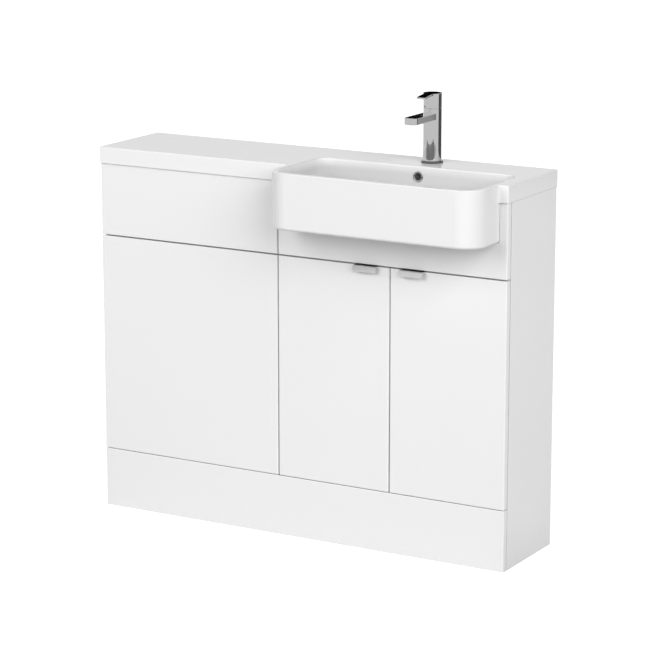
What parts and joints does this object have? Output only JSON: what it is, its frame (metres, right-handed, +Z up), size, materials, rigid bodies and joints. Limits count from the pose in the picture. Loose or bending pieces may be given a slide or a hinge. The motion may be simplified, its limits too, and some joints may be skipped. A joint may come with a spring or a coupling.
{
  "type": "combination vanity unit",
  "caption": "Floor-standing bathroom run: a WC unit and a double-door basin unit under one cast worktop with a semi-recessed bowl, a lever mixer and a push waste.",
  "frame": {"origin": "on the floor, under the middle of the overall width and depth", "axes": "+X along the wall, to the right seen from the front; +Y towards the wall; +Z up"},
  "size_m": [1.104, 0.366, 1.068],
  "materials": {
    "gloss_front": "white high-gloss lacquer on fibreboard",
    "gloss_gable": "white gloss-faced board",
    "carcass": "white melamine-faced board",
    "cast_top": "white gel-coated cast resin and stone",
    "chrome": "polished chrome on brass",
    "steel": "zinc or nickel plated",
    "brass": "machined",
    "copper": "drawn copper tube",
    "white_plastic": "moulded",
    "dark_plastic": "moulded",
    "clear_dot": "soft translucent dot",
    "rubber": "moulded seal"
  },
  "bodies": {
    "cabinet": {"wc_left_gable": "gloss_gable", "wc_right_gable": "carcass", "wc_rear_rail": "carcass", "wc_mid_rail": "carcass", "wc_low_rail": "carcass", "wc_fascia": "gloss_front", "wc_front_panel": "gloss_front", "basin_left_gable": "carcass", "basin_right_gable": "gloss_gable", "basin_base": "carcass", "basin_rear_rail": "carcass", "basin_low_rear_rail": "carcass", "basin_mid_rail": "carcass", "basin_fascia": "gloss_front", "plinth": "gloss_front", "plinth_brackets": "steel", "wall_brackets": "steel", "panel_clips": "white_plastic", "unit_bolts": "steel", "door_bumpers": "clear_dot", "shelf": "carcass", "shelf_pins": "steel", "left_hinge_arms": "steel", "right_hinge_arms": "steel", "hinge_plates": "steel", "basin_top": "cast_top", "overflow_ring": "chrome", "waste_body": "chrome", "waste_upper_seal": "rubber", "waste_lower_seal": "rubber", "waste_backnut": "white_plastic", "mixer_base_seal": "rubber", "mixer_base_ring": "chrome", "mixer_body": "chrome", "spout_aerator": "dark_plastic", "cartridge_housing": "white_plastic", "cartridge_dome": "chrome", "mixer_tails": "copper", "mixer_stud": "steel", "mixer_clamp_seal": "rubber", "mixer_clamp_plate": "steel", "mixer_stud_nut": "brass"},
    "left_door": {"left_door": "gloss_front", "left_pull": "chrome", "left_hinge_cups": "steel", "left_hinge_pins": "steel"},
    "right_door": {"right_door": "gloss_front", "right_pull": "chrome", "right_hinge_cups": "steel", "right_hinge_pins": "steel"},
    "mixer_rotor": {"cartridge_rotor": "white_plastic", "tilt_pin": "steel"},
    "mixer_lever": {"lever_stem": "brass", "mixer_handle": "chrome", "handle_dot": "dark_plastic"},
    "push_plug": {"waste_plug": "chrome"}
  },
  "joints": [
    {"name": "left_door_swing", "type": "hinge", "parent": "cabinet", "child": "left_door", "pos_m": [-0.0408, -0.06, 0.4165], "axis": [0, 0, -1], "range_deg": [0, 95]},
    {"name": "right_door_swing", "type": "hinge", "parent": "cabinet", "child": "right_door", "pos_m": [0.5413, -0.06, 0.4165], "axis": [0, 0, 1], "range_deg": [0, 95]},
    {"name": "mixer_turn", "type": "hinge", "parent": "cabinet", "child": "mixer_rotor", "pos_m": [0.2545, 0.127, 1.01635], "axis": [0, 0, 1], "range_deg": [-45, 45]},
    {"name": "mixer_lift", "type": "hinge", "parent": "mixer_rotor", "child": "mixer_lever", "pos_m": [0.2545, 0.127, 1.01635], "axis": [-1, 0, 0], "range_deg": [0, 22]},
    {"name": "plug_press", "type": "slide", "parent": "cabinet", "child": "push_plug", "axis": [0, 0, -1], "range_m": [0, 0.007], "stiffness_N_per_m": 600, "springref_m": -0.003}
  ]
}
